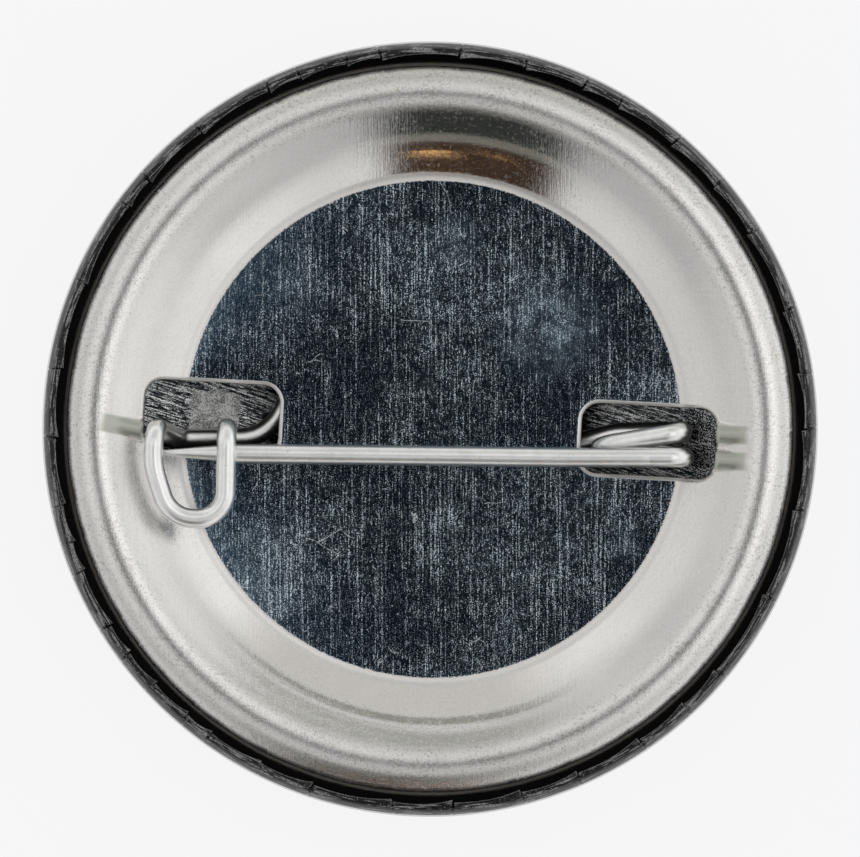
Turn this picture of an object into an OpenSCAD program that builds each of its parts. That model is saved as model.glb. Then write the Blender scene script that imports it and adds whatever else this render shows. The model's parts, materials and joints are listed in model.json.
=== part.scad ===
// Pin-back button badge, 1.25 inch size, lying face down.
// +Z points out of the back, +X runs along the two windows from the catch to
// the coil, and the origin is at the bottom of the dome. Millimetres.

/* [Badge] */
// Outside diameter of the finished badge
badge_d = 31.75; // [31.5:0.05:32]
// Radius of the flat middle of the front, which the badge stands on
face_r = 2.5; // [2.5:0.1:3.5]
// Radius of the front dome, from the flat middle to the edge
dome_r = 41.8; // [38:0.1:42]
// Radius of the rounded front edge
edge_r = 1.3; // [1.2:0.05:1.4]
// Height of the centre of the rolled rim
roll_z = 4.3; // [4.2:0.05:4.4]
// Radius of the rolled rim, measured on the outside of the film
roll_r = 0.42; // [0.4:0.01:0.44]

/* [Sheets] */
// Thickness of the tinplate front shell
shell_t = 0.22; // [0.2:0.01:0.23]
// Thickness of the printed paper
paper_t = 0.1; // [0.08:0.01:0.11]
// Thickness of the clear film
film_t = 0.05; // [0.03:0.01:0.06]
// Thickness of the tinplate back plate
plate_t = 0.25; // [0.2:0.01:0.28]

/* [Back plate] */
// Height of the flat middle's outer face
disc_z = 3.25; // [3.2:0.05:3.3]
// Radius of the flat middle
disc_r = 10.35; // [10.3:0.05:10.5]
// Length of each window
window_l = 5.5; // [5.3:0.1:5.7]
// Width of each window
window_w = 2.87; // [2.8:0.01:3]
// Distance of each window's centre from the badge's centre
window_x = 8.94; // [8.9:0.01:9]
// Radius of the windows' corners
window_corner_r = 0.72; // [0.5:0.01:1]

/* [Pin wire] */
// Diameter of the spring wire
wire_d = 0.8; // [0.74:0.02:0.82]
// Length of the ground point
taper_l = 3.1; // [2:0.1:4]
// Diameter at the very tip
tip_d = 0.12; // [0.08:0.01:0.2]
// Clearance between the arm's round end and its socket in the coil
socket_gap = 0.05; // [0.04:0.01:0.1]

/* [Hidden] */
$fn = 96;
badge_r = badge_d / 2;
wire_r = wire_d / 2;
front_t = film_t + paper_t + shell_t;

// Rolled rim: the sheets wrap over the edge, fold back and end inside the groove
dome_run = badge_r - edge_r - face_r;
edge_c = [badge_r - edge_r, dome_r - sqrt(pow(dome_r - edge_r, 2) - pow(dome_run, 2))];
roll_c = [badge_r - 0.495, roll_z];
dome_angle = asin(dome_run / (dome_r - edge_r));
film_end_z = 2.8;
paper_end_z = 2.86;
shell_end_z = 2.94;

// Back plate: outer face from the centre to the flange under the rolled rim, as [r, z, corner radius]
bead_r = badge_r - 1.085;
flange_r = badge_r - 0.675;
plate_outline = [
    [0, disc_z, 0],
    [disc_r, disc_z, 0.6],
    [bead_r - 3.04, disc_z + 0.875, 8],
    [bead_r - 0.81, disc_z + 1.732, 1.7],
    [bead_r, disc_z + 1.145, 0.15],
    [bead_r + 0.12, 2.72, 0.12],
    [flange_r, 2.72, 0]
];

// Ribs pressed up at the outer end of the windows, as [x of the open end, y, length, turn].
// They run nearly level, so the slope rises to meet their outer ends.
rib_outer_r = 0.5;
rib_inner_r = 0.28;
rib_angle = 6;
rib_z = 3.92;
ribs = [
    [window_x + window_l / 2 - 0.15, 0.44, 1.2, 0],
    [window_x + window_l / 2 - 0.15, -0.64, 1.2, 0],
    [-window_x - window_l / 2 + 0.15, -0.72, 1.65, 180 - 9]
];

// Spring wire, as [x, y, z, bend radius at this corner]. The first point is the pivot.
pivot = [9, -0.67, 4.5];
wire_route = [
    [pivot[0], pivot[1], pivot[2], 0],
    [10.45, -0.6, 4.5, 0.6],
    [10.45, -0.56, 2.05, 1.1],
    [7, -0.52, 2, 0.85],
    [7, -0.3, 3.75, 0.85],
    [10.32, 0.44, 4.25, 0.6],
    [10.32, 0.48, 1.66, 1.1],
    [7.6, 0.26, 1.32, 3],
    [5.2, -0.55, 1.1, 3],
    [0, 1.2, 0.86, 6],
    [-5, 3, 1.02, 1.6],
    [-6.6, -0.7, 1.17, 1.9],
    [-10.35, -0.95, 1.5, 0.8],
    [-11.24, -0.47, 5.63, 0.75],
    [-11.22, -2.1, 5.6, 3],
    [-10.42, -4.19, 5.32, 1.35],
    [-8.15, -4.15, 5.3, 1.15],
    [-8.29, -0.42, 5.63, 0.75],
    [-8.29, -0.42, 2.5, 0.5],
    [-8.3, -2.9, 2.5, 0]
];

// Pin arm: from the pivot past a slight bend to the straight shank and its ground point
arm_bend = [5.4, -0.865, 4.5];
arm_tip = [-11.1, -1.56, 4.62];

function unit(v) = v / norm(v);

// Rounds one corner b of a line a-b-c with radius r, as points at most step degrees apart
function corner(a, b, c, r, step) =
    let (d1 = unit(b - a), d2 = unit(c - b), turn = acos(min(1, max(-1, d1 * d2))))
    r == 0 || turn < 0.01 ? [b] :
    let (
        start = b - d1 * r * tan(turn / 2),
        centre = b + unit(d2 - d1) * r / cos(turn / 2),
        n = max(2, ceil(turn / step)),
        out = (start - centre) / r
    )
    [for (i = [0:n]) centre + r * (out * cos(turn * i / n) + d1 * sin(turn * i / n))];

// A line through corner points whose last number is the corner's radius
function rounded(path, step) =
    let (
        n = len(path),
        dims = len(path[0]) - 1,
        p = [for (q = path) [for (i = [0:dims - 1]) q[i]]]
    )
    [for (i = [0:n - 1]) each
        (i == 0 || i == n - 1) ? [p[i]] : corner(p[i - 1], p[i], p[i + 1], path[i][dims], step)];

function arc(centre, r, a0, a1, n) =
    [for (i = [0:n]) let (a = a0 + (a1 - a0) * i / n) centre + r * [cos(a), sin(a)]];

function reversed(list) = [for (i = [len(list) - 1:-1:0]) list[i]];

// Front outline, depth below the outside of the film, from the axis to the rolled end
function front_line(depth, end_z) =
    let (
        v = roll_c - edge_c,
        taper = atan2(v[1], v[0]) - acos((edge_r - roll_r) / norm(v))
    )
    concat(
        [[0, depth]],
        arc([face_r, dome_r], dome_r - depth, -90, -90 + dome_angle, 9),
        arc(edge_c, edge_r - depth, -90 + dome_angle, taper, 7),
        arc(roll_c, roll_r - depth, taper, 180, 9),
        [[roll_c[0] - roll_r + depth, end_z]]
    );

// One of the wrapped sheets, between two depths
module front_sheet(depth, thickness, end_z) {
    outside = front_line(depth, end_z);
    inside = front_line(depth + thickness, end_z);
    rotate_extrude() polygon(concat(outside, reversed(inside)));
}

// Moves a 2D line sideways, to its right-hand side
function shifted(line, d) =
    [for (i = [0:len(line) - 1])
        let (
            a = i == 0 ? undef : unit(line[i] - line[i - 1]),
            b = i == len(line) - 1 ? undef : unit(line[i + 1] - line[i]),
            t = is_undef(a) ? b : is_undef(b) ? a : unit(a + b),
            stretch = is_undef(a) || is_undef(b) ? 1 : 1 / (t * a)
        )
        line[i] + d * stretch * [t[1], -t[0]]];

// Rings of points around a 3D line, kept from twisting by carrying one side vector along
function sides_along(dirs, i = 0, side = undef) =
    i == len(dirs) ? [] :
    let (
        seed = abs(dirs[i] * [0, 1, 0]) > 0.9 ? [1, 0, 0] : [0, 1, 0],
        s = is_undef(side) ? seed : side,
        flat = unit(s - (s * dirs[i]) * dirs[i])
    )
    concat([flat], sides_along(dirs, i + 1, flat));

// A round wire along a 3D line
module wire(line, r, sides = 12) {
    n = len(line);
    steps = [for (i = [0:n - 2]) unit(line[i + 1] - line[i])];
    dirs = [for (i = [0:n - 1])
        i == 0 ? steps[0] : i == n - 1 ? steps[n - 2] : unit(steps[i - 1] + steps[i])];
    side = sides_along(dirs);
    points = [for (i = [0:n - 1]) for (k = [0:sides - 1])
        line[i] + r * (cos(360 * k / sides) * side[i] + sin(360 * k / sides) * cross(dirs[i], side[i]))];
    walls = [for (i = [0:n - 2]) for (k = [0:sides - 1])
        let (a = i * sides + k, b = i * sides + (k + 1) % sides)
        each [[a, b + sides, b], [a, a + sides, b + sides]]];
    first = [for (k = [0:sides - 1]) k];
    last = [for (k = [sides - 1:-1:0]) (n - 1) * sides + k];
    polyhedron(points, concat(walls, [first, last]));
}

// Turns its children so that their +Z points along v
module point_along(v) {
    rotate([0, acos(v[2] / norm(v)), atan2(v[1], v[0])]) children();
}

module clear_film() {
    color([0.75, 0.78, 0.8, 0.5]) front_sheet(0, film_t, film_end_z);
}

module printed_disc() {
    color([0.06, 0.06, 0.07]) front_sheet(film_t, paper_t, paper_end_z);
}

module front_shell() {
    color([0.62, 0.64, 0.66]) front_sheet(film_t + paper_t, shell_t, shell_end_z);
}

module window_outline() {
    l = window_l / 2;
    w = window_w / 2;
    r = window_corner_r;
    corners = [[-l, 0, 0], [-l, -w, r], [l, -w, r], [l, w, r], [-l, w, r], [-l, 0, 0]];
    ring = rounded(corners, 15);
    polygon([for (i = [0:len(ring) - 2]) ring[i]]);
}

// Places a rib's parts on the slope: +Z runs outward from the open end
module on_slope(rib) {
    translate([rib[0], rib[1], rib_z])
        rotate([0, 0, rib[3]])
            rotate([0, 90 - rib_angle, 0]) children();
}

// A bar along +Z with one round end, or a round point of radius end_r after a taper
module bar(r, from, to, end_r, taper = 0) {
    rotate_extrude() polygon(concat(
        [[0, from], [r, from], [r, to - taper - end_r]],
        arc([0, to - end_r], end_r, 0, 90, 6)
    ));
}

module back_plate() {
    outer = rounded(plate_outline, 15);
    inner = shifted(outer, plate_t);
    color([0.8, 0.79, 0.77])
    difference() {
        union() {
            rotate_extrude() polygon(concat(outer, reversed(inner)));
            for (rib = ribs) on_slope(rib) intersection() {
                bar(rib_outer_r, 0, rib[2], rib_outer_r);
                translate([-2, -1, -1]) cube([2, 2, 4]);
            }
        }
        for (rib = ribs) on_slope(rib) bar(rib_inner_r, -1, rib[2] - 0.22, rib_inner_r);
        for (side = [-1, 1]) translate([side * window_x, 0, disc_z - 1])
            linear_extrude(3) window_outline();
    }
}

// Coil, hidden run and catch: the part of the one-piece wire that stays with the badge
module spring_wire() {
    color([0.82, 0.83, 0.82])
    difference() {
        wire(rounded(wire_route, 15), wire_r);
        translate(pivot) sphere(r = wire_r + socket_gap);
    }
}

// Everything on the far side of a plane, to cut a mitre
module beyond(point, normal) {
    translate(point) point_along(normal) translate([-2, -2, 0]) cube(4);
}

module pin_arm() {
    root = arm_bend - pivot;
    shank = arm_tip - arm_bend;
    mitre = unit(root) + unit(shank);
    color([0.85, 0.86, 0.85]) union() {
        difference() {
            translate(pivot) point_along(-root) bar(wire_r, -norm(root) - 0.1, wire_r, wire_r);
            beyond(arm_bend, mitre);
        }
        difference() {
            translate(arm_bend) point_along(shank) bar(wire_r, -0.1, norm(shank), tip_d / 2, taper_l);
            beyond(arm_bend, -mitre);
        }
    }
}

clear_film();
printed_disc();
front_shell();
back_plate();
spring_wire();
pin_arm();
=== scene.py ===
"""Button badge lying face down, seen from the back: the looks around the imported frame."""
import json
import math
import random

import bpy
import numpy as np
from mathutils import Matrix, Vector, geometry


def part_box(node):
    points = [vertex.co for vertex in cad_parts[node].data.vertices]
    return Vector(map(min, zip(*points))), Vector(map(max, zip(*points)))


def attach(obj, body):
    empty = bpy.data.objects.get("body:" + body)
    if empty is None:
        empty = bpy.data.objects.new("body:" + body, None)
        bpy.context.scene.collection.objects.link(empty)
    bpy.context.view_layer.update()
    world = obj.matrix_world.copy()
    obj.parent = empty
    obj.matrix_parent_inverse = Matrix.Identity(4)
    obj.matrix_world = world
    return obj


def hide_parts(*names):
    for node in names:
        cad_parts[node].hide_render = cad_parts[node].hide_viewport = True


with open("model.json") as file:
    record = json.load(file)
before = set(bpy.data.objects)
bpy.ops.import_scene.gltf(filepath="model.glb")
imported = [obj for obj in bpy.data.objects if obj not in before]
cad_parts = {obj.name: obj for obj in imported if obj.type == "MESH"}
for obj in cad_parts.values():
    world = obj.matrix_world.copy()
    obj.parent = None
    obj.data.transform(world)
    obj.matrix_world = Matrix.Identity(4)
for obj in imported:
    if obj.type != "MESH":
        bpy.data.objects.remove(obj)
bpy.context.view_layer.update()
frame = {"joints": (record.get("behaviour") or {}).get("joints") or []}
MM = 0.001


def box_mm(node):
    lo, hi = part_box(node)
    return np.array(lo) / MM, np.array(hi) / MM


# ---------------------------------------------------------------- sizes, in mm
FILM_LO, FILM_HI = box_mm("clear_film")
PLATE_LO, PLATE_HI = box_mm("back_plate")
BADGE_R = (FILM_HI[0] - FILM_LO[0]) / 2
RIM_TOP = FILM_HI[2]
BEAD_R = BADGE_R - 1.085
FLANGE_R = (PLATE_HI[0] - PLATE_LO[0]) / 2
FACE_R = 2.5
DOME_R = 41.8
EDGE_R = 1.3
ROLL_R = 0.42
FILM_T, PAPER_T, SHELL_T, PLATE_T = 0.05, 0.10, 0.22, 0.25
DOME_RUN = BADGE_R - EDGE_R - FACE_R
EDGE_C = np.array([BADGE_R - EDGE_R,
                   DOME_R - math.sqrt((DOME_R - EDGE_R) ** 2 - DOME_RUN ** 2)])
ROLL_C = np.array([BADGE_R - 0.495, RIM_TOP - ROLL_R])
DOME_ANGLE = math.asin(DOME_RUN / (DOME_R - EDGE_R))
DISC_Z = 3.25
DISC_R = 10.35
DISC_SHIFT = 0.10
CREST_R = BEAD_R - 1.06
WINDOW_X, WINDOW_L, WINDOW_W, WINDOW_CORNER = 8.94, 5.5, 2.87, 0.72
WIRE_R = 0.4
PIVOT = np.array(frame["joints"][0]["pos_m"]) / MM
ARM_BEND = np.array([5.4, -0.865, 4.5])
ARM_TIP = np.array([-11.1, -1.56, 4.62])
TAPER_L, TIP_D = 3.1, 0.12
# the photo's level line is turned this much from the line of the windows
TILT = math.radians(3.1)

# Spring wire, as x, y, z and bend radius at each corner, from the pivot to the hook's hidden end
WIRE_ROUTE = [
    (PIVOT[0], PIVOT[1], PIVOT[2], 0),
    (10.45, -0.6, 4.5, 0.6),
    (10.45, -0.56, 2.05, 1.1),
    (7, -0.52, 2, 0.85),
    (7, -0.3, 3.75, 0.85),
    (10.32, 0.44, 4.25, 0.6),
    (10.32, 0.48, 1.66, 1.1),
    (7.6, 0.26, 1.32, 3),
    (5.2, -0.55, 1.1, 3),
    (0, 1.2, 0.86, 6),
    (-5, 3, 1.02, 1.6),
    (-6.6, -0.7, 1.17, 1.9),
    (-10.35, -0.95, 1.5, 0.8),
    (-11.24, -0.47, 5.63, 0.75),
    (-11.22, -2.1, 5.6, 3),
    (-10.42, -4.19, 5.32, 1.35),
    (-8.15, -4.15, 5.3, 1.15),
    (-8.29, -0.42, 5.63, 0.75),
    (-8.29, -0.42, 2.5, 0.5),
    (-8.3, -2.9, 2.5, 0),
]


# ---------------------------------------------------------------- small tools
def unit(v):
    return v / np.linalg.norm(v)


def smooth(lo, hi, x):
    t = np.clip((x - lo) / (hi - lo), 0, 1)
    return t * t * (3 - 2 * t)


def bump(x, width):
    return np.exp(-((x / width) ** 2))


def rounded(path, step_deg):
    """A line through corner points, whose last number is the corner's radius."""
    p = [np.array(q[:-1], float) for q in path]
    out = [p[0]]
    for i in range(1, len(p) - 1):
        d1, d2 = unit(p[i] - p[i - 1]), unit(p[i + 1] - p[i])
        turn = math.acos(max(-1, min(1, float(d1 @ d2))))
        r = path[i][-1]
        if r == 0 or turn < 1e-4:
            out.append(p[i])
            continue
        start = p[i] - d1 * r * math.tan(turn / 2)
        centre = p[i] + unit(d2 - d1) * r / math.cos(turn / 2)
        n = max(2, math.ceil(math.degrees(turn) / step_deg))
        side = (start - centre) / r
        for k in range(n + 1):
            a = turn * k / n
            out.append(centre + r * (side * math.cos(a) + d1 * math.sin(a)))
    out.append(p[-1])
    return np.array(out)


def arc(centre, r, a0, a1, n):
    a = np.linspace(a0, a1, n + 1)
    return np.array(centre) + r * np.column_stack([np.cos(a), np.sin(a)])


def filled(line, longest):
    """Adds points so that no step is longer than the given length."""
    out = [line[0]]
    for a, b in zip(line[:-1], line[1:]):
        n = max(1, math.ceil(np.linalg.norm(b - a) / longest))
        out += [a + (b - a) * k / n for k in range(1, n + 1)]
    return np.array(out)


def mesh_object(name, verts_mm, faces, material):
    me = bpy.data.meshes.new(name)
    me.from_pydata((np.asarray(verts_mm) * MM).tolist(), [], faces)
    me.validate()
    me.update()
    me.materials.append(material)
    me.shade_smooth()
    ob = bpy.data.objects.new(name, me)
    bpy.context.scene.collection.objects.link(ob)
    return ob


def ring_faces(rows, cols, loop_rows):
    """Quads of a grid that closes round its columns, and round its rows too if loop_rows is true."""
    faces = []
    for i in range(rows if loop_rows else rows - 1):
        a, b = i * cols, ((i + 1) % rows) * cols
        for j in range(cols):
            k = (j + 1) % cols
            faces.append((a + j, a + k, b + k, b + j))
    return faces


def turned(name, outside, inside, angles, material, change=None):
    """A closed sheet turned round the Z axis. Its two faces are given as [r, z] lines from the axis out."""
    loop = np.vstack([outside, inside[::-1]])
    r = np.repeat(loop[:, 0][:, None], len(angles), 1)
    z = np.repeat(loop[:, 1][:, None], len(angles), 1)
    a = np.repeat(angles[None, :], len(loop), 0)
    if change is not None:
        r, z = change(r, z, a)
    grid = np.stack([r * np.cos(a), r * np.sin(a), z], axis=2)
    cols = len(angles)
    # the two ends on the axis are single points
    body = grid[1:-1].reshape(-1, 3)
    rows = len(loop) - 2
    faces = ring_faces(rows, cols, False)
    bottom, top = len(body), len(body) + 1
    verts = np.vstack([body, [[0, 0, loop[0][1]]], [[0, 0, loop[-1][1]]]])
    last = (rows - 1) * cols
    for j in range(cols):
        k = (j + 1) % cols
        faces.append((bottom, k, j))
        faces.append((top, last + j, last + k))
    return mesh_object(name, verts, faces, material)


def tube(name, line, radius, material, sides=24):
    """A round bar along a line in space, with a radius for each point and flat ends."""
    n = len(line)
    step = np.diff(line, axis=0)
    step /= np.linalg.norm(step, axis=1)[:, None]
    dirs = np.vstack([step[:1], step[:-1] + step[1:], step[-1:]])
    dirs /= np.linalg.norm(dirs, axis=1)[:, None]
    side = np.array([0.0, 1.0, 0.0])
    verts = []
    turn = np.arange(sides) * 2 * math.pi / sides
    for i in range(n):
        side = unit(side - (side @ dirs[i]) * dirs[i])
        other = np.cross(dirs[i], side)
        verts.append(line[i] + radius[i] * (np.cos(turn)[:, None] * side + np.sin(turn)[:, None] * other))
    faces = ring_faces(n, sides, False)
    verts = np.vstack(verts)
    faces.append(tuple(range(sides)))
    faces.append(tuple(range((n - 1) * sides, n * sides))[::-1])
    return mesh_object(name, verts, [f[::-1] for f in faces], material)


def round_end(at, direction, radius, steps=7):
    """Centres and radii that close a bar with a ball, from its tip to its full width."""
    a = np.linspace(0.06, math.pi / 2, steps)
    return at + direction * (radius * np.cos(a))[:, None], radius * np.sin(a)


# ---------------------------------------------------------------- materials
class Nodes:
    """Builds a material's node tree with short calls."""

    def __init__(self, name):
        self.mat = bpy.data.materials.new(name)
        self.mat.use_nodes = True
        self.tree = self.mat.node_tree
        self.shader = self.tree.nodes["Principled BSDF"]

    def add(self, kind, **inputs):
        node = self.tree.nodes.new(kind)
        for key, value in inputs.items():
            if key.startswith("set_"):
                setattr(node, key[4:], value)
            else:
                name = key.replace("_", " ")
                numbered = key[0] == "i" and key[1:].isdigit()
                self.put(node.inputs[int(key[1:]) if numbered else name], value)
        return node

    def put(self, slot, value):
        if isinstance(value, bpy.types.NodeSocket):
            self.tree.links.new(value, slot)
        else:
            slot.default_value = value

    def math(self, op, a, b=0.0, clamp=False):
        node = self.add("ShaderNodeMath", set_operation=op, set_use_clamp=clamp, i0=a, i1=b)
        return node.outputs[0]

    def mm(self):
        """The object's own coordinates in millimetres."""
        coord = self.add("ShaderNodeTexCoord").outputs["Object"]
        return self.add("ShaderNodeVectorMath", set_operation="MULTIPLY", i0=coord,
                        i1=(1 / MM, 1 / MM, 1 / MM)).outputs[0]

    def stretched(self, vector, scale):
        return self.add("ShaderNodeMapping", Vector=vector, Scale=scale).outputs[0]

    def along(self, vector, across, along, turn):
        """Coordinates turned round Z and stretched: fine across the direction, long along it."""
        return self.add("ShaderNodeMapping", set_vector_type="TEXTURE", Vector=vector,
                        Scale=(1 / across, 1 / along, 1.0), Rotation=(0, 0, turn)).outputs[0]

    def facing_up(self, lo, hi):
        """1 where the surface lies level, 0 where it slopes."""
        normal = self.add("ShaderNodeNewGeometry").outputs["Normal"]
        return self.range(self.add("ShaderNodeSeparateXYZ", Vector=normal).outputs[2], lo, hi)

    def band(self, value, lo, hi, soft=0.8):
        """1 between two values, with soft ends."""
        return self.math("MULTIPLY", self.range(value, lo - soft, lo + soft),
                         self.range(value, hi - soft, hi + soft, 1.0, 0.0))

    def noise(self, vector, scale, detail=2.0, rough=0.5, distortion=0.0):
        return self.add("ShaderNodeTexNoise", Vector=vector, Scale=scale, Detail=detail,
                        Roughness=rough, Distortion=distortion).outputs["Fac"]

    def range(self, value, lo, hi, out_lo=0.0, out_hi=1.0):
        node = self.add("ShaderNodeMapRange", set_interpolation_type="SMOOTHSTEP", Value=value)
        for key, v in (("From Min", lo), ("From Max", hi), ("To Min", out_lo), ("To Max", out_hi)):
            self.put(node.inputs[key], v)
        return node.outputs[0]

    def mix(self, fac, a, b):
        node = self.add("ShaderNodeMix", set_data_type="RGBA")
        self.put(node.inputs[0], fac)
        self.put(node.inputs[6], a)
        self.put(node.inputs[7], b)
        return node.outputs[2]

    def mix_value(self, fac, a, b):
        node = self.add("ShaderNodeMix", set_data_type="FLOAT")
        self.put(node.inputs[0], fac)
        self.put(node.inputs[2], a)
        self.put(node.inputs[3], b)
        return node.outputs[0]

    def polar(self, vector):
        """Distance from the axis, angle round it, and height."""
        sep = self.add("ShaderNodeSeparateXYZ", Vector=vector).outputs
        r = self.math("SQRT", self.math("ADD", self.math("MULTIPLY", sep[0], sep[0]),
                                        self.math("MULTIPLY", sep[1], sep[1])))
        return r, self.math("ARCTAN2", sep[1], sep[0]), sep[2]

    def vector(self, x, y, z):
        return self.add("ShaderNodeCombineXYZ", X=x, Y=y, Z=z).outputs[0]

    def bump(self, height, distance_mm, strength=1.0, normal=None):
        node = self.add("ShaderNodeBump", Height=height, Distance=distance_mm * MM, Strength=strength)
        if normal is not None:
            self.put(node.inputs["Normal"], normal)
        return node.outputs[0]

    def finish(self, **inputs):
        for key, value in inputs.items():
            self.put(self.shader.inputs[key.replace("_", " ")], value)
        return self.mat


def rgb(r, g, b):
    return (r, g, b, 1.0)


def film_material():
    n = Nodes("film_over_black_print")
    at = n.mm()
    r, turn, z = n.polar(at)
    round_mm = n.math("MULTIPLY", turn, BADGE_R)
    # the rolled rim is wrinkled in fine streaks that run round it, with painted glints laid along the
    # streaks
    streak_at = n.vector(n.math("MULTIPLY", r, 13.0), n.math("MULTIPLY", round_mm, 0.75),
                         n.math("MULTIPLY", z, 5.0))
    streaks = n.noise(streak_at, 1.0, 2.5, 0.6, 0.4)
    rim = n.range(r, BADGE_R - 0.14, BADGE_R - 0.04, 1.0, 0.0)
    outward = n.range(r, BADGE_R - 0.42, BADGE_R - 0.12, 0.0, 0.40)
    back = n.range(n.math("ADD", z, outward), RIM_TOP - 0.24, RIM_TOP - 0.10)
    face = n.math("MULTIPLY", rim, back)
    # below the crimped edge the film is pressed into the crevice beside the plate, where it gets painted
    # shade: near-black colour, no coat and almost no shine
    crevice = n.math("MULTIPLY", n.range(z, RIM_TOP - 0.14, RIM_TOP - 0.05, 1.0, 0.0), n.range(
        r, BADGE_R - 0.44, BADGE_R - 0.40, 1.0, 0.0))
    face = n.math("MULTIPLY", face, n.math("SUBTRACT", 1.0, crevice))
    # painted sheen: the outer wall near the back is coloured lighter, where the glossy film would mirror
    # the pale floor
    shoulder_sheen = n.math("MULTIPLY", n.range(r, BADGE_R - 0.36, BADGE_R - 0.22), n.range(z, 3.3, 4.2))
    crisp = n.range(streaks, 0.53, 0.57)
    grit = n.noise(at, 14.0, 2.0, 0.6)
    # painted glints on the rim face, along the wrinkle streaks, broken up by grit
    streak_glints = n.math("MULTIPLY", n.math("MULTIPLY", face, crisp), n.range(grit, 0.40, 0.56, 0.30, 1.0))
    specks = n.noise(at, 11.0, 2.0, 0.6)
    haze = n.math("MULTIPLY", face, n.range(specks, 0.62, 0.72))
    # the inner edge of the rim, where it turns in, gets a thin painted highlight line, broken up by grit
    turned_in_highlight = n.math("SUBTRACT", 1.0, n.facing_up(0.80, 0.95))
    edge = n.math("MULTIPLY", turned_in_highlight, n.range(z, RIM_TOP - 0.10, RIM_TOP - 0.06))
    edge = n.math("MULTIPLY", edge, n.range(r, BADGE_R - 0.47, BADGE_R - 0.44, 1.0, 0.0))
    haze = n.math("MAXIMUM", haze, n.math("MULTIPLY", edge, n.range(grit, 0.36, 0.60, 0.1, 0.75)))
    # black print, lightened by the painted sheen on the shoulder and the painted glints on the rim face
    black_print_and_painted_light = n.mix(shoulder_sheen, rgb(0.003, 0.003, 0.0035), rgb(0.10, 0.10, 0.103))
    black_print_and_painted_light = n.mix(streak_glints, black_print_and_painted_light, rgb(0.27, 0.27, 0.275))
    # the film's specks and the painted edge highlight share one lighter colour
    colour = n.mix(haze, black_print_and_painted_light, rgb(0.19, 0.19, 0.195))
    rough = n.mix_value(face, 0.14, 0.17)
    soft = n.noise(at, 0.35, 2.0, 0.5)
    peel = n.bump(soft, 0.02, 0.25)
    fine = n.bump(streaks, 0.05, n.mix_value(face, 0.0, 0.9), peel)
    # painted shade: near black in the crevice
    colour = n.mix(crevice, colour, rgb(0.002, 0.002, 0.002))
    return n.finish(Base_Color=colour, Roughness=rough, Normal=fine, IOR=1.5,
                    Coat_Weight=n.mix_value(crevice, 0.10, 0.0), Coat_Roughness=0.06,
                    Specular_IOR_Level=n.mix_value(crevice, 0.26, 0.02))


def paper_material():
    n = Nodes("printed_paper")
    at = n.mm()
    fibres = n.noise(n.stretched(at, (3.0, 9.0, 3.0)), 1.0, 4.0, 0.7)
    colour = n.mix(fibres, rgb(0.02, 0.02, 0.022), rgb(0.05, 0.05, 0.052))
    return n.finish(Base_Color=colour, Roughness=0.85, Normal=n.bump(fibres, 0.01, 0.4))


def brush_lines(n, at, turn, across, along, detail=3.0):
    """Fine rolling lines: narrow one way and long the other."""
    return n.noise(n.along(at, across, along, turn), 1.0, detail, 0.7)


def shell_material():
    n = Nodes("shell_inside_tinplate")
    at = n.mm()
    lines = brush_lines(n, at, math.radians(76), 25.0, 2.4)
    broad = brush_lines(n, at, math.radians(75), 13.0, 0.35, 2.0)
    grains = n.noise(at, 21.0, 1.5, 0.6)
    sep = n.add("ShaderNodeSeparateXYZ", Vector=at).outputs
    # towards the edge the lines give way to grains
    outer = n.range(sep[0], 10.2, 11.4)
    pattern = n.mix_value(outer, lines, grains)
    # painted glints: the lines and grains that would catch the tent's light
    lit = n.math("MULTIPLY", n.range(pattern, 0.53, 0.62), n.range(grains, 0.38, 0.60, 0.15, 1.0))
    bold = n.math("MULTIPLY", n.range(broad, 0.54, 0.62), n.range(grains, 0.40, 0.58))
    lit = n.math("MAXIMUM", lit, bold)
    lit = n.math("MULTIPLY", lit, n.mix_value(outer, 0.9, 0.45))
    # painted shade and glints: the tinplate is coloured near black between the lines, as shade in the
    # recess behind the windows, and white along them
    colour = n.mix(lit, rgb(0.006, 0.008, 0.010), rgb(1.0, 1.0, 0.99))
    # a dull square patch seen through the catch window
    wobble = n.math("MULTIPLY", n.math("SUBTRACT", n.noise(at, 3.0, 2.0), 0.5), 0.4)
    dx = n.math("ABSOLUTE", n.math("ADD", n.math("SUBTRACT", sep[0], -8.87), wobble))
    dy = n.math("ABSOLUTE", n.math("ADD", n.math("SUBTRACT", sep[1], 0.05), wobble))
    edge = n.math("MAXIMUM", dx, dy)
    patch = n.range(edge, 0.92, 1.02, 1.0, 0.0)
    mottled = n.noise(at, 15.0, 2.0, 0.7)
    cloudy = n.noise(at, 2.2, 2.0, 0.6)
    grey = n.math("ADD", n.math("MULTIPLY", mottled, 0.75), n.math("MULTIPLY", cloudy, 0.35))
    dull = n.mix(n.range(grey, 0.44, 0.64), rgb(0.22, 0.22, 0.215), rgb(1.0, 1.0, 0.985))
    colour = n.mix(patch, colour, dull)
    rough = n.mix_value(patch, n.math("ADD", n.math("MULTIPLY", lit, 0.35), 0.14), 0.62)
    metal = n.mix_value(patch, 1.0, 0.25)
    relief = n.bump(lines, 0.008, 0.6, n.bump(broad, 0.01, 0.3))
    return n.finish(Base_Color=colour, Metallic=metal, Roughness=rough, Normal=relief)


# hazy places on the flat middle, as x, y, size in mm and strength
HAZE_SPOTS = [(4.6, 4.4, 2.9, 0.9), (0.6, 7.6, 1.7, 0.6), (-5.5, 5.5, 1.6, 0.3), (8.2, -4.2, 1.0, 0.6)]


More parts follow.
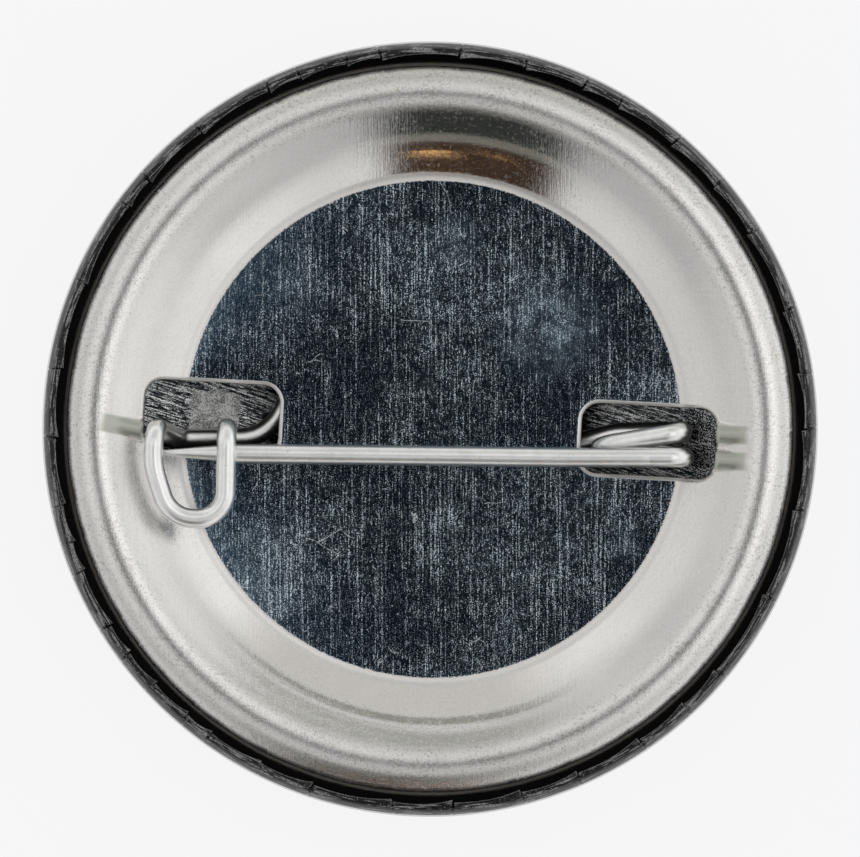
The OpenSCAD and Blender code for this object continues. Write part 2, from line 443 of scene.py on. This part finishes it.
def plate_material():
    n = Nodes("pressed_tinplate")
    at = n.mm()
    r, turn, z = n.polar(at)
    moved = n.add("ShaderNodeVectorMath", set_operation="SUBTRACT", i0=at, i1=(DISC_SHIFT, 0, 0)).outputs[0]
    disc_r = n.polar(moved)[0]
    ragged = n.math("MULTIPLY", n.math("SUBTRACT", n.noise(at, 11.0, 3.0, 0.7), 0.5), 0.15)
    disc_r = n.math("ADD", disc_r, ragged)
    disc = n.range(disc_r, 10.14, 10.20, 1.0, 0.0)
    disc = n.math("MULTIPLY", disc, n.facing_up(0.975, 0.995))
    rubbed = n.range(disc_r, 10.46, 10.60, 1.0, 0.0)
    bead = n.range(r, BEAD_R - 1.95, BEAD_R - 1.5)
    flank = n.range(r, BEAD_R + 0.062, BEAD_R + 0.08)
    # flat middle: the mirror finish of the rolled sheet, with its lines, grain and faint clouds, coloured
    # as a painted dark reflection of the room with painted glints along the lines and grains
    grains = n.noise(at, 21.0, 1.5, 0.6)
    lines = brush_lines(n, at, TILT, 20.0, 3.6)
    long = brush_lines(n, at, TILT, 15.0, 0.22, 2.0)
    cloud = n.noise(at, 0.24, 3.0, 0.60)
    patchy = n.noise(at, 1.3, 3.0, 0.65)
    lit = n.math("MULTIPLY", n.range(lines, 0.47, 0.70), n.range(grains, 0.36, 0.64, 0.15, 1.0))
    lit = n.math("ADD", lit, n.math("MULTIPLY", n.range(grains, 0.55, 0.71), 0.66))
    thin = n.math("MULTIPLY", n.range(long, 0.56, 0.63), n.range(grains, 0.40, 0.58))
    lit = n.math("ADD", lit, n.math("MULTIPLY", thin, 0.85))
    lit = n.math("MULTIPLY", lit, n.range(cloud, 0.30, 0.70, 0.45, 1.0), True)
    lit = n.math("MULTIPLY", lit, n.range(patchy, 0.30, 0.70, 0.60, 1.05), True)
    # fingerprints and haze: soft uneven patches
    haze = n.math("MULTIPLY", n.range(cloud, 0.48, 0.72), 0.22)
    level_at = n.add("ShaderNodeVectorMath", set_operation="MULTIPLY", i0=at, i1=(1, 1, 0)).outputs[0]
    for x, y, size, strength in HAZE_SPOTS:
        away = n.add("ShaderNodeVectorMath", set_operation="DISTANCE", i0=level_at, i1=(x, y, 0))
        away = away.outputs["Value"]
        spot = n.math("MULTIPLY", n.range(away, size * 0.2, size, 1.0, 0.0), strength)
        haze = n.math("MAXIMUM", haze, spot)
    haze = n.math("MULTIPLY", haze, n.range(patchy, 0.3, 0.7, 0.25, 1.0))
    # painted dark reflection of the room, paler where the sheet is hazed
    dark = n.mix(haze, rgb(0.030, 0.062, 0.098), rgb(0.33, 0.45, 0.54))
    disc_colour = n.mix(lit, dark, rgb(0.70, 0.79, 0.85))
    # stray scratches and specks: thin broken arcs, hooks and dots
    scratch = None
    for turn_by, scale, lo in ((0.7, 0.55, 0.63), (-0.5, 0.9, 0.65), (2.2, 1.6, 0.67)):
        bent = n.add("ShaderNodeTexNoise", Vector=at, Scale=0.8 * scale, Detail=1.0).outputs["Color"]
        bent = n.add("ShaderNodeVectorMath", set_operation="MULTIPLY_ADD", i0=bent,
                     i1=(1.3, 1.3, 0.0), i2=at).outputs[0]
        cells_at = n.along(bent, 1.0, 0.40, turn_by)
        cells = n.add("ShaderNodeTexVoronoi", set_feature="DISTANCE_TO_EDGE", Vector=cells_at, Scale=scale)
        line = n.range(cells.outputs["Distance"], 0.0, 0.020 * scale, 1.0, 0.0)
        line = n.math("MULTIPLY", line, n.range(n.noise(at, 0.7 * scale, 2.0), lo, lo + 0.03))
        scratch = line if scratch is None else n.math("MAXIMUM", scratch, line)
    scratch = n.math("MULTIPLY", scratch, n.range(grains, 0.35, 0.5, 0.3, 1.0))
    dots = n.add("ShaderNodeTexVoronoi", Vector=at, Scale=1.5).outputs["Distance"]
    scratch = n.math("MAXIMUM", scratch, n.range(dots, 0.035, 0.06, 1.0, 0.0))
    marks = n.math("MULTIPLY", scratch, 0.6)
    disc_colour = n.mix(marks, disc_colour, rgb(0.85, 0.86, 0.87))
    # satin slope and bead, with brown specks, and grey along the level crest that is partly wear and partly
    # a painted dark reflection of the room overhead
    round_mm = n.math("MULTIPLY", turn, BEAD_R)
    worn_at = n.vector(n.math("MULTIPLY", r, 5.0), n.math("MULTIPLY", round_mm, 0.8), 0.0)
    worn = n.noise(worn_at, 1.0, 4.0, 0.7)
    crest = n.math("MULTIPLY", n.range(r, CREST_R - 0.12, CREST_R - 0.02),
                   n.range(r, CREST_R + 0.02, CREST_R + 0.10, 1.0, 0.0))
    # partly wear, partly painted dark reflection: grey along the level top of the crest
    grey = n.math("MULTIPLY", crest, n.range(worn, 0.42, 0.60))
    speck = n.noise(at, 7.5, 3.0, 0.75)
    dirty = n.range(n.noise(at, 0.9, 3.0, 0.6), 0.35, 0.62, 0.25, 1.0)
    specks = n.math("MULTIPLY", n.mix_value(bead, 0.2, dirty), n.range(speck, 0.52, 0.64))
    satin = n.mix(n.noise(at, 0.8, 3.0, 0.6), rgb(0.765, 0.745, 0.722), rgb(0.83, 0.812, 0.79))
    satin = n.mix(n.math("MULTIPLY", n.range(grains, 0.35, 0.70), n.mix_value(bead, 0.25, 0.55)), satin,
                  rgb(0.58, 0.565, 0.54))
    satin = n.mix(n.math("MULTIPLY", grey, 0.36), satin, rgb(0.44, 0.46, 0.49))
    satin = n.mix(n.math("MULTIPLY", specks, 0.50), satin, rgb(0.34, 0.28, 0.23))
    gritty = n.math("MULTIPLY", n.range(r, CREST_R - 0.42, CREST_R - 0.06),
                    n.range(r, CREST_R + 0.04, CREST_R + 0.40, 1.0, 0.0))
    gritty = n.math("MULTIPLY", gritty, n.range(n.noise(at, 11.0, 3.0, 0.75), 0.46, 0.58))
    gritty = n.math("MULTIPLY", gritty, n.math("MULTIPLY", dirty, 0.55))
    satin = n.mix(gritty, satin, rgb(0.40, 0.385, 0.36))
    # below the bead the plate goes down into the crevice: its flank is coloured a dull brown above, and
    # painted shade darkens it to near black lower down
    side = n.mix(n.range(z, 3.3, 3.7), rgb(0.012, 0.012, 0.012), rgb(0.64, 0.60, 0.54))
    satin = n.mix(flank, satin, side)
    # the slope is polished brightest above and below the pin
    sep = n.add("ShaderNodeSeparateXYZ", Vector=at).outputs
    polished = n.range(n.math("ABSOLUTE", sep[1]), 3.5, 8.5)
    rough_slope = n.mix_value(polished, 0.26, 0.08)
    rough_satin = n.math("ADD", n.mix_value(bead, rough_slope, 0.24),
                         n.math("MULTIPLY", n.range(worn, 0.4, 0.7), 0.04))
    # the ribs are rougher, and coloured a darker grey-green as a painted dark reflection
    ribs = 0.0
    for rx, ry, length, lean in RIBS:
        dx, dy = n.math("SUBTRACT", sep[0], rx), n.math("SUBTRACT", sep[1], ry)
        cos, sin = math.cos(lean), math.sin(lean)
        along = n.math("ADD", n.math("MULTIPLY", dx, cos), n.math("MULTIPLY", dy, sin))
        across = n.math("SUBTRACT", n.math("MULTIPLY", dy, cos), n.math("MULTIPLY", dx, sin))
        one = n.math("MULTIPLY", n.range(n.math("ABSOLUTE", across), 0.30, 0.44, 1.0, 0.0),
                     n.range(along, length + 0.05, length + 0.40, 1.0, 0.0))
        one = n.math("MULTIPLY", one, n.range(along, 0.0, 0.2))
        ribs = n.math("MAXIMUM", ribs, one)
    pits = n.range(n.noise(at, 7.0, 3.0, 0.7), 0.55, 0.66, 0.0, 0.13)
    pitted = n.math("MULTIPLY", n.math("SUBTRACT", 1.0, bead), pits)
    rough_satin = n.math("ADD", rough_satin, pitted)
    rough_satin = n.mix_value(n.math("MAXIMUM", rubbed, ribs), rough_satin, 0.40)
    # painted dark reflection: the ribs' darker grey-green
    satin = n.mix(ribs, satin, rgb(0.46, 0.475, 0.42))
    rough_satin = n.mix_value(flank, rough_satin, 0.55)
    colour = n.mix(disc, satin, disc_colour)
    rough_disc = n.math("ADD", n.math("MULTIPLY", n.math("MAXIMUM", lit, marks), 0.36), 0.12, True)
    rough_disc = n.math("ADD", rough_disc, n.math("MULTIPLY", haze, 0.06))
    rough = n.mix_value(disc, rough_satin, rough_disc)
    drawn = brush_lines(n, at, TILT, 13.0, 0.5)
    relief = n.math("ADD", n.math("MULTIPLY", drawn, 1.1),
                    n.math("MULTIPLY", grains, n.mix_value(bead, 0.25, 1.2)))
    coarse = n.noise(at, 8.0, 2.0, 0.6)
    relief = n.math("ADD", relief, n.math("MULTIPLY", coarse, 0.55))
    relief = n.mix_value(disc, relief, n.math("ADD", lines, n.math("MULTIPLY", grains, 0.5)))
    normal = n.bump(relief, 0.005, 0.6)
    metal = n.mix_value(flank, 1.0, 0.1)
    return n.finish(Base_Color=colour, Metallic=metal, Roughness=rough, Normal=normal)


def wire_material():
    n = Nodes("plated_spring_wire")
    at = n.mm()
    stains = n.noise(at, 1.3, 4.0, 0.65)
    drawn = n.noise(n.stretched(at, (0.8, 9.0, 9.0)), 1.0, 3.0, 0.7)
    pits = n.range(n.noise(at, 7.0, 2.0, 0.6), 0.66, 0.74)
    colour = n.mix(n.range(stains, 0.35, 0.7), rgb(0.91, 0.915, 0.90), rgb(0.80, 0.805, 0.785))
    colour = n.mix(n.math("MULTIPLY", pits, 0.5), colour, rgb(0.36, 0.34, 0.31))
    rough = n.range(drawn, 0.3, 0.75, 0.31, 0.34)
    return n.finish(Base_Color=colour, Metallic=1.0, Roughness=rough, Normal=n.bump(drawn, 0.0008, 0.35))


# ---------------------------------------------------------------- stage
def make_stage():
    n = Nodes("pale_floor")
    paper = n.noise(n.mm(), 0.4, 3.0, 0.5)
    colour = n.mix(paper, rgb(0.055, 0.055, 0.055), rgb(0.06, 0.06, 0.06))
    floor_material = n.finish(Base_Color=colour, Roughness=0.9, Specular_IOR_Level=0.0,
                              Emission_Color=rgb(1.0, 1.0, 1.0), Emission_Strength=0.885)
    half = 900.0
    corners = [(-half, -half, -0.02), (half, -half, -0.02), (half, half, -0.02), (-half, half, -0.02)]
    floor = mesh_object("floor", corners, [(0, 1, 2, 3)], floor_material)


# the tent's brightness from the horizon (0) to straight above (1), as position and level
TENT = [(0.0, 0.90), (0.16, 0.92), (0.30, 0.92), (0.40, 0.80), (0.48, 0.68), (0.55, 0.70), (0.62, 0.84),
        (0.74, 0.94), (0.875, 0.90), (0.895, 0.62), (0.915, 0.08), (0.935, 0.022), (1.0, 0.022)]


def make_world():
    """A white light tent, open to a dark room straight above and at its mouth, where a lamp shows."""
    world = bpy.data.worlds.new("light_tent")
    world.use_nodes = True
    bpy.context.scene.world = world
    n = Nodes("world_helper")
    bpy.data.materials.remove(n.mat)
    n.tree = world.node_tree
    sky = n.tree.nodes["Background"]
    way = n.add("ShaderNodeTexCoord").outputs["Generated"]
    sep = n.add("ShaderNodeSeparateXYZ", Vector=way).outputs
    height = n.math("MINIMUM", n.math("MAXIMUM", sep[2], -1.0), 1.0)
    up = n.math("MULTIPLY", n.math("ARCSINE", height), 180 / math.pi)
    azimuth = n.math("MULTIPLY", n.math("ARCTAN2", sep[1], sep[0]), 180 / math.pi)
    ramp = n.add("ShaderNodeValToRGB", Fac=n.math("DIVIDE", up, 90.0))
    stops = ramp.color_ramp.elements
    for position, level in TENT[1:-1]:
        stops.new(position)
    for stop, (position, level) in zip(stops, TENT):
        stop.position = position
        stop.color = (level, level, level, 1.0)
    # brighter panels at the left and right, above the middle of the walls
    turn = n.math("MULTIPLY", n.math("SUBTRACT", azimuth, math.degrees(TILT)), math.pi / 90)
    sides = n.math("MULTIPLY", n.math("COSINE", turn), n.range(up, 42.0, 58.0, 0.0, 0.26))
    level = n.math("MULTIPLY", ramp.outputs["Color"], n.math("ADD", sides, 1.0))
    # more light comes from one side of the tent
    window_side = n.math("COSINE", n.math("MULTIPLY", n.math("SUBTRACT", azimuth, 50.0), math.pi / 180))
    level = n.math("MULTIPLY", level, n.math("ADD", n.math("MULTIPLY", window_side, 0.20), 1.0))
    folds = n.noise(way, 2.6, 3.0, 0.6)
    level = n.math("MULTIPLY", level, n.range(folds, 0.30, 0.70, 0.90, 1.08))
    # the tent's mouth: straight below the picture, a little to its left
    mouth = -98.5 + math.degrees(TILT)
    off = n.math("ABSOLUTE", n.math("SUBTRACT", azimuth, mouth))
    inside = n.range(off, 15.0, 22.0, 1.0, 0.0)
    bands = ((20.0, 38.5, rgb(0.048, 0.029, 0.020)), (38.5, 42.5, rgb(0.20, 0.20, 0.165)),
             (42.5, 52.5, rgb(0.030, 0.034, 0.031)), (52.5, 55.5, rgb(0.13, 0.135, 0.11)),
             (55.5, 59.0, rgb(0.05, 0.036, 0.027)))
    north = n.math("COSINE", n.math("MULTIPLY", n.math("SUBTRACT", azimuth, 84.0), math.pi / 180))
    north = n.range(north, math.cos(math.radians(42)), math.cos(math.radians(22)))
    colour = level
    for lo, hi, shade in ((12.0, 37.0, rgb(0.67, 0.66, 0.64)), (38.0, 42.5, rgb(0.27, 0.285, 0.25)),
                          (46.5, 50.0, rgb(0.37, 0.385, 0.35))):
        colour = n.mix(n.math("MULTIPLY", north, n.band(up, lo, hi)), colour, shade)
    for lo, hi, shade in bands:
        colour = n.mix(n.math("MULTIPLY", inside, n.band(up, lo, hi)), colour, shade)
    lamp = None
    for at, wide, lift, size in ((8.5, 4.0, 30.3, 1.0), (-4.5, 1.8, 32.3, 0.5)):
        a = n.math("POWER", n.math("DIVIDE", n.math("SUBTRACT", azimuth, mouth + at), wide), 2.0)
        b = n.math("POWER", n.math("DIVIDE", n.math("SUBTRACT", up, lift), 0.36), 2.0)
        one = n.math("MULTIPLY", n.range(n.math("ADD", a, b), 0.1, 1.2, 1.0, 0.0), size)
        lamp = one if lamp is None else n.math("MAXIMUM", lamp, one)
    colour = n.mix(lamp, colour, rgb(6.0, 3.5, 1.4))
    n.put(sky.inputs["Color"], colour)
    n.put(sky.inputs["Strength"], 1.0)


def make_camera():
    scene = bpy.context.scene
    cam_data = bpy.data.cameras.new("camera")
    cam = bpy.data.objects.new("camera", cam_data)
    scene.collection.objects.link(cam)
    scene.camera = cam
    # the frame is this many badges wide
    seen_w = 1.108819 * 2 * BADGE_R * MM
    distance = 0.9
    sensor_mm = 36.0
    cam_data.sensor_width = sensor_mm
    cam_data.lens = sensor_mm * distance / seen_w
    cam_data.clip_start, cam_data.clip_end = 0.01, 10.0
    cam.rotation_euler = (0, 0, TILT)
    edge_z = EDGE_C[1] * MM
    cam.location = (0, 0, edge_z + distance)
    # the badge's centre is a hair right of the frame's centre and a little below it
    cam_data.shift_x = -0.0000349
    cam_data.shift_y = 0.000686


# ---------------------------------------------------------------- wrapped sheets of the front
def front_line(depth, end_z, fine):
    """The shell's outline at a depth under the film's outside, from the axis to the tucked end."""
    v = ROLL_C - EDGE_C
    taper = math.atan2(v[1], v[0]) - math.acos((EDGE_R - ROLL_R) / np.linalg.norm(v))
    dome = arc([FACE_R, DOME_R], DOME_R - depth, -math.pi / 2, -math.pi / 2 + DOME_ANGLE, 14 * fine)
    edge = arc(EDGE_C, EDGE_R - depth, -math.pi / 2 + DOME_ANGLE, taper, 10 * fine)
    roll = arc(ROLL_C, ROLL_R - depth, taper, math.pi, 12 * fine)
    end = np.array([[ROLL_C[0] - ROLL_R + depth, end_z]])
    line = np.vstack([[[0, depth]], dome, edge[1:], roll, end])
    # the roll's inner side is pressed down, below the film's inner edge
    pressed = smooth(BADGE_R - 0.32, BADGE_R - 0.46, line[:, 0]) * smooth(3.4, 3.9, line[:, 1])
    line[:, 1] -= 0.26 * pressed
    return line


def film_outside():
    """The film's outer face: like the shell's outline, but with a flat rim that ends in a sharp edge."""
    v = ROLL_C - EDGE_C
    taper = math.atan2(v[1], v[0]) - math.acos((EDGE_R - ROLL_R) / np.linalg.norm(v))
    dome = arc([FACE_R, DOME_R], DOME_R, -math.pi / 2, -math.pi / 2 + DOME_ANGLE, 28)
    edge = arc(EDGE_C, EDGE_R, -math.pi / 2 + DOME_ANGLE, taper, 20)
    wall_top = ROLL_C + ROLL_R * np.array([math.cos(taper), math.sin(taper)])
    wall = unit(wall_top - edge[-1])
    corner = edge[-1] + wall * (RIM_TOP - edge[-1][1]) / wall[1]
    inner = BADGE_R - 0.53
    rim = rounded([
        (*edge[-1], 0),
        (*corner, 0.40),
        (inner, RIM_TOP, 0.05),
        (inner - 0.02, RIM_TOP - 0.20, 0.03),
        (ROLL_C[0] - ROLL_R + 0.06, RIM_TOP - 0.30, 0.10),
        (ROLL_C[0] - ROLL_R, 2.8, 0),
    ], 9)
    return np.vstack([[[0, 0]], dome, edge[1:-1], filled(rim, 0.09)])


def crease_angles():
    """Irregular places round the rim where the gathered film is folded."""
    rng = random.Random(11)
    gaps = [rng.uniform(4.5, 14.0) for _ in range(39)]
    total = sum(gaps)
    angles, a = [], math.radians(3.0)
    for g in gaps:
        angles.append(a)
        a += g * 2 * math.pi / total
    return np.array(angles), [rng.uniform(0.5, 1.0) for _ in gaps]


CREASES, CREASE_DEPTH = crease_angles()


def rim_angles():
    """Even steps round the rim, with closer ones at each crease."""
    even = np.linspace(0, 2 * math.pi, 900, endpoint=False)
    near = np.array([-0.30, -0.22, -0.16, -0.12, -0.09, -0.065, -0.045, -0.03, -0.015])
    near = np.concatenate([near, [0.0], -near[::-1]]) / BADGE_R
    extra = (CREASES[:, None] + near[None, :]).ravel() % (2 * math.pi)
    both = np.sort(np.concatenate([even, extra]))
    keep = np.concatenate([[True], np.diff(both) > 0.008 / BADGE_R])
    return both[keep]


def crimp(r, z, a):
    """Gathers the rim: creases across it, and an inner edge that is drawn in at each crease."""
    shift_r = np.zeros_like(r)
    shift_z = np.zeros_like(z)
    face = smooth(BADGE_R - 0.14, BADGE_R - 0.30, r) * smooth(RIM_TOP - 0.30, RIM_TOP - 0.08, z)
    inner = smooth(BADGE_R - 0.34, BADGE_R - 0.51, r) * smooth(RIM_TOP - 0.28, RIM_TOP - 0.16, z)
    wall = smooth(BADGE_R - 0.60, BADGE_R - 0.30, r) * smooth(RIM_TOP - 0.85, RIM_TOP - 0.35, z)
    last = len(CREASES)
    for i in range(last):
        gap = (CREASES[(i + 1) % last] - CREASES[i]) % (2 * math.pi)
        t = ((a - CREASES[i]) % (2 * math.pi)) / gap
        between = (t >= 0) & (t < 1)
        sag = np.where(between, np.maximum(0.0, 1 - np.sin(np.pi * np.clip(t, 0, 1)) ** 0.55), 0.0)
        shift_r -= inner * (0.06 * sag + 0.11 * np.where(between, t, 0.0) ** 3)
        off = ((a - CREASES[i] + math.pi) % (2 * math.pi) - math.pi) * BADGE_R
        lean = off - 0.25 * (BADGE_R - 0.5 - r) * (1 if i % 2 else -1)
        deep = CREASE_DEPTH[i]
        cut = -0.15 * bump(lean, 0.042) + 0.070 * bump(lean - 0.11, 0.05) + 0.030 * bump(lean + 0.11, 0.05)
        shift_z += face * deep * cut
        shift_r += wall * (1 - face) * deep * 0.2 * cut
    ripple = 0.010 * np.sin(a * 151 + 3 * np.sin(a * 17)) * np.sin(a * 23)
    shift_z += face * ripple
    return r + shift_r, z + shift_z


def make_front():
    angles = rim_angles()
    film = film_material()
    outside = film_outside()
    inside = front_line(FILM_T, 2.8, 1)
    clear = turned("film", outside, inside, angles, film, crimp)
    plain = np.linspace(0, 2 * math.pi, 360, endpoint=False)
    printed = turned("printed_paper", front_line(FILM_T, 2.86, 1), front_line(FILM_T + PAPER_T, 2.86, 1),
                     plain, paper_material())
    depth = FILM_T + PAPER_T
    shell = turned("tin_shell", front_line(depth, 2.94, 2), front_line(depth + SHELL_T, 2.94, 2),
                   plain, shell_material())
    for piece, node, slot in ((clear, "clear_film", "film"), (printed, "printed_disc", "paper"),
                              (shell, "front_shell", "shell")):
        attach(piece, "badge")
        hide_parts(node)


# ---------------------------------------------------------------- back plate
RIBS = [
    (WINDOW_X + WINDOW_L / 2 - 0.15, 0.44, 1.2, 0.0),
    (WINDOW_X + WINDOW_L / 2 - 0.15, -0.64, 1.2, 0.0),
    (-WINDOW_X - WINDOW_L / 2 + 0.15, -0.72, 1.65, math.radians(171)),
]


def plate_profile():
    """The plate's outer face from the middle to the flange, as [r, z]."""
    return rounded([
        (0, DISC_Z, 0),
        (DISC_R, DISC_Z, 0.6),
        (BEAD_R - 3.04, DISC_Z + 0.875, 8),
        (BEAD_R - 0.81, DISC_Z + 1.732, 1.7),
        (BEAD_R + 0.06, DISC_Z + 1.12, 0.08),
        (BEAD_R + 0.09, DISC_Z + 0.72, 0.08),
        (BEAD_R + 0.20, DISC_Z + 0.55, 0.08),
        (BEAD_R + 0.16, 2.85, 0.10),
        (FLANGE_R, 2.72, 0),
    ], 3)


def window_distance(x, y):
    """How far outside the nearer window a point is; negative inside."""
    qx = np.abs(np.abs(x) - WINDOW_X) - (WINDOW_L / 2 - WINDOW_CORNER)
    qy = np.abs(y) - (WINDOW_W / 2 - WINDOW_CORNER)
    out = np.hypot(np.maximum(qx, 0), np.maximum(qy, 0))
    return out + np.minimum(np.maximum(qx, qy), 0) - WINDOW_CORNER


def window_loop(side, offset):
    """Points round a window at a distance outside its edge."""
    l, w, r = WINDOW_L / 2 + offset, WINDOW_W / 2 + offset, WINDOW_CORNER + offset
    path = [(0, -w, 0), (l, -w, r), (l, w, r), (-l, w, r), (-l, -w, r), (0, -w, 0)]
    ring = filled(rounded(path, 7.5), 0.09)[:-1]
    return ring + np.array([side * WINDOW_X, 0])


def rib_top(x, y):
    """Height of the half-round ribs, which run nearly level until the slope meets them."""
    top = np.full_like(x, -1.0)
    for rx, ry, length, turn in RIBS:
        dx, dy = x - rx, y - ry
        along = dx * math.cos(turn) + dy * math.sin(turn)
        across = -dx * math.sin(turn) + dy * math.cos(turn)
        half = 0.47
        inside = (np.abs(across) < half) & (along > -0.6) & (along < length + 0.8)
        crown = 4.03 + 0.055 * along + np.sqrt(np.clip(half ** 2 - across ** 2, 0, None))
        top = np.where(inside, np.maximum(top, crown), top)
    return top


def soft_max(a, b, k):
    h = np.clip(0.5 + 0.5 * (a - b) / k, 0, 1)
    return b + (a - b) * h + k * h * (1 - h)


def plate_mesh():
    profile = plate_profile()
    split = np.argmax(profile[:, 0] > BEAD_R - 0.30)
    flat = profile[: split + 1]
    flat = flat[flat[:, 0] > 0.5]
    radii = filled(flat, 0.16)[:, 0]
    radii = np.concatenate([[0.8, 2.4, 4.0, 5.0], radii[radii > 5.6]])
    heights_r, heights_z = profile[: split + 2, 0], profile[: split + 2, 1]
    cols = 720
    lip = 0.18
    points = [(0.0, 0.0)]
    for i, r in enumerate(radii):
        n = cols if r > 9.0 else 120 if r > 3 else 24
        step = np.arange(n) * 2 * math.pi / n
        x, y = r * np.cos(step), r * np.sin(step)
        keep = (window_distance(x, y) > lip + 0.16) | (i == len(radii) - 1)
        points += list(zip(x[keep], y[keep]))
    first_rim = len(points) - cols
    # a fine patch of points over each rib
    for rx, ry, length, turn in RIBS:
        u, v = np.meshgrid(np.arange(0.0, length + 0.35, 0.045), np.arange(-0.63, 0.64, 0.045))
        x = rx + u * math.cos(turn) - v * math.sin(turn)
        y = ry + u * math.sin(turn) + v * math.cos(turn)
        keep = window_distance(x, y) > lip + 0.12
        points += list(zip(x[keep], y[keep]))
    edges = []
    offsets = [0.0, 0.02, 0.05, 0.085, 0.12, 0.15, lip, lip + 0.08]
    for side in (-1, 1):
        for offset in offsets:
            ring = window_loop(side, offset)
            start = len(points)
            points += list(map(tuple, ring))
            if offset in (0.0, lip):
                edges += [(start + k, start + (k + 1) % len(ring)) for k in range(len(ring))]
    edges += [(first_rim + k, first_rim + (k + 1) % cols) for k in range(cols)]
    out = geometry.delaunay_2d_cdt([Vector(p) for p in points], edges, [], 1, 1e-5)
    xy = np.array([tuple(v) for v in out[0]])
    tris = [tuple(f) for f in out[2]]
    centre = np.array([xy[list(f)].mean(axis=0) for f in tris])
    hole = window_distance(centre[:, 0], centre[:, 1]) < 0
    tris = [f for f, h in zip(tris, hole) if not h]
    x, y = xy[:, 0], xy[:, 1]
    # the flat middle is pressed a little to one side
    fade = smooth(BEAD_R - 1.8, BEAD_R - 3.4, np.hypot(x, y))
    z = np.interp(np.hypot(x - DISC_SHIFT * fade, y), heights_r, heights_z)
    z = soft_max(rib_top(x, y), z, 0.12)
    d = np.clip(window_distance(x, y), 0, lip)
    z -= 0.10 * (1 - d / lip) ** 2
    # carry the rim on as rings down the flange
    verts = [np.column_stack([x, y, z])]
    turn = np.arange(cols) * 2 * math.pi / cols
    rim = np.array([int(np.argmin((x - radii[-1] * math.cos(t)) ** 2 + (y - radii[-1] * math.sin(t)) ** 2))
                    for t in turn])
    below = filled(profile[split + 1:], 0.12)
    below = below[below[:, 0] > radii[-1] + 1e-4]
    count = len(x)
    faces = list(tris)
    previous = rim
    for pr, pz in below:
        verts.append(np.column_stack([pr * np.cos(turn), pr * np.sin(turn), np.full(cols, pz)]))
        ring = count + np.arange(cols)
        count += cols
        after = [(j + 1) % cols for j in range(cols)]
        faces += [(previous[j], ring[j], ring[k], previous[k]) for j, k in enumerate(after)]
        previous = ring
    return np.vstack(verts), [tuple(int(k) for k in f) for f in faces]


def make_plate():
    verts, faces = plate_mesh()
    plate = mesh_object("plate", verts, faces, plate_material())
    sheet = plate.modifiers.new("sheet", "SOLIDIFY")
    sheet.thickness = PLATE_T * MM
    sheet.offset = -1
    bpy.context.view_layer.objects.active = plate
    plate.select_set(True)
    bpy.ops.object.modifier_apply(modifier=sheet.name)
    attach(plate, "badge")
    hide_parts("back_plate")


# ---------------------------------------------------------------- wire
def make_wire():
    metal = wire_material()
    line = filled(rounded(WIRE_ROUTE, 4), 0.35)
    first = unit(line[0] - line[1])
    last = unit(line[-1] - line[-2])
    ball, ball_r = round_end(line[0], first, WIRE_R * 0.995)
    stub, stub_r = round_end(line[-1], last, WIRE_R)
    path = np.vstack([ball, line[1:-1], stub[::-1]])
    radii = np.concatenate([ball_r, np.full(len(line) - 2, WIRE_R), stub_r[::-1]])
    wire = tube("spring", path, radii, metal)
    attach(wire, "badge")
    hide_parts("spring_wire")

    shank = ARM_TIP - ARM_BEND
    along = unit(shank)
    route = rounded([(*PIVOT, 0), (*ARM_BEND, 14.0), (*ARM_TIP, 0)], 0.25)
    straight = filled(route, 0.4)
    left = np.linalg.norm(straight - ARM_TIP, axis=1)
    r = np.where(left < TAPER_L, TIP_D / 2 + (WIRE_R - TIP_D / 2) * (left / TAPER_L) ** 0.9, WIRE_R)
    ball, ball_r = round_end(PIVOT, -unit(ARM_BEND - PIVOT), WIRE_R)
    point, point_r = round_end(ARM_TIP, along, TIP_D / 2, 5)
    path = np.vstack([ball, straight[1:-1], point[::-1]])
    radii = np.concatenate([ball_r, r[1:-1], point_r[::-1]])
    arm = tube("arm", path, radii, metal)
    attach(arm, "pin")
    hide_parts("pin_arm")


make_stage()
make_world()
make_camera()
make_front()
make_plate()
make_wire()
bpy.context.scene.view_settings.view_transform = "Standard"
